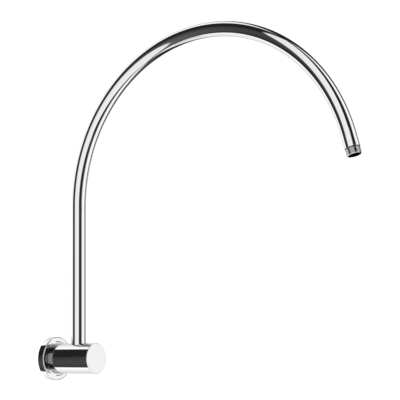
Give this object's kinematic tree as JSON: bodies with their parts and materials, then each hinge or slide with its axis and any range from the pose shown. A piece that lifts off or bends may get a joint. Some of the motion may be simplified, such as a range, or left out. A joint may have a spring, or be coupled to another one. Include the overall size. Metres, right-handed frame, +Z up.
{
  "type": "gooseneck shower arm",
  "caption": "Wall-mounted gooseneck shower arm: round flange with a raised ring, thick cylindrical body, tall tube bent over in one arc, and a threaded outlet that points down for a shower head.",
  "frame": {"origin": "on the wall plane, at the centre of the body and of the flange's back", "axes": "+X out of the wall along the body, +Z up along the riser, the arm lies in the XZ plane"},
  "size_m": [0.5572, 0.0654, 0.5127],
  "materials": {
    "chrome": "polished",
    "chrome_thread": "plated over a cut thread",
    "brass": "turned",
    "rubber": "matte",
    "steel": "plain"
  },
  "bodies": {
    "root": {"wall_body": "chrome", "gooseneck_tube": "chrome", "outlet_nipple": "chrome_thread", "wall_flange": "chrome", "flange_o_ring": "rubber", "inlet_spigot": "brass", "front_seal_ring": "rubber", "rear_seal_ring": "rubber", "locking_screw": "steel"}
  },
  "joints": []
}
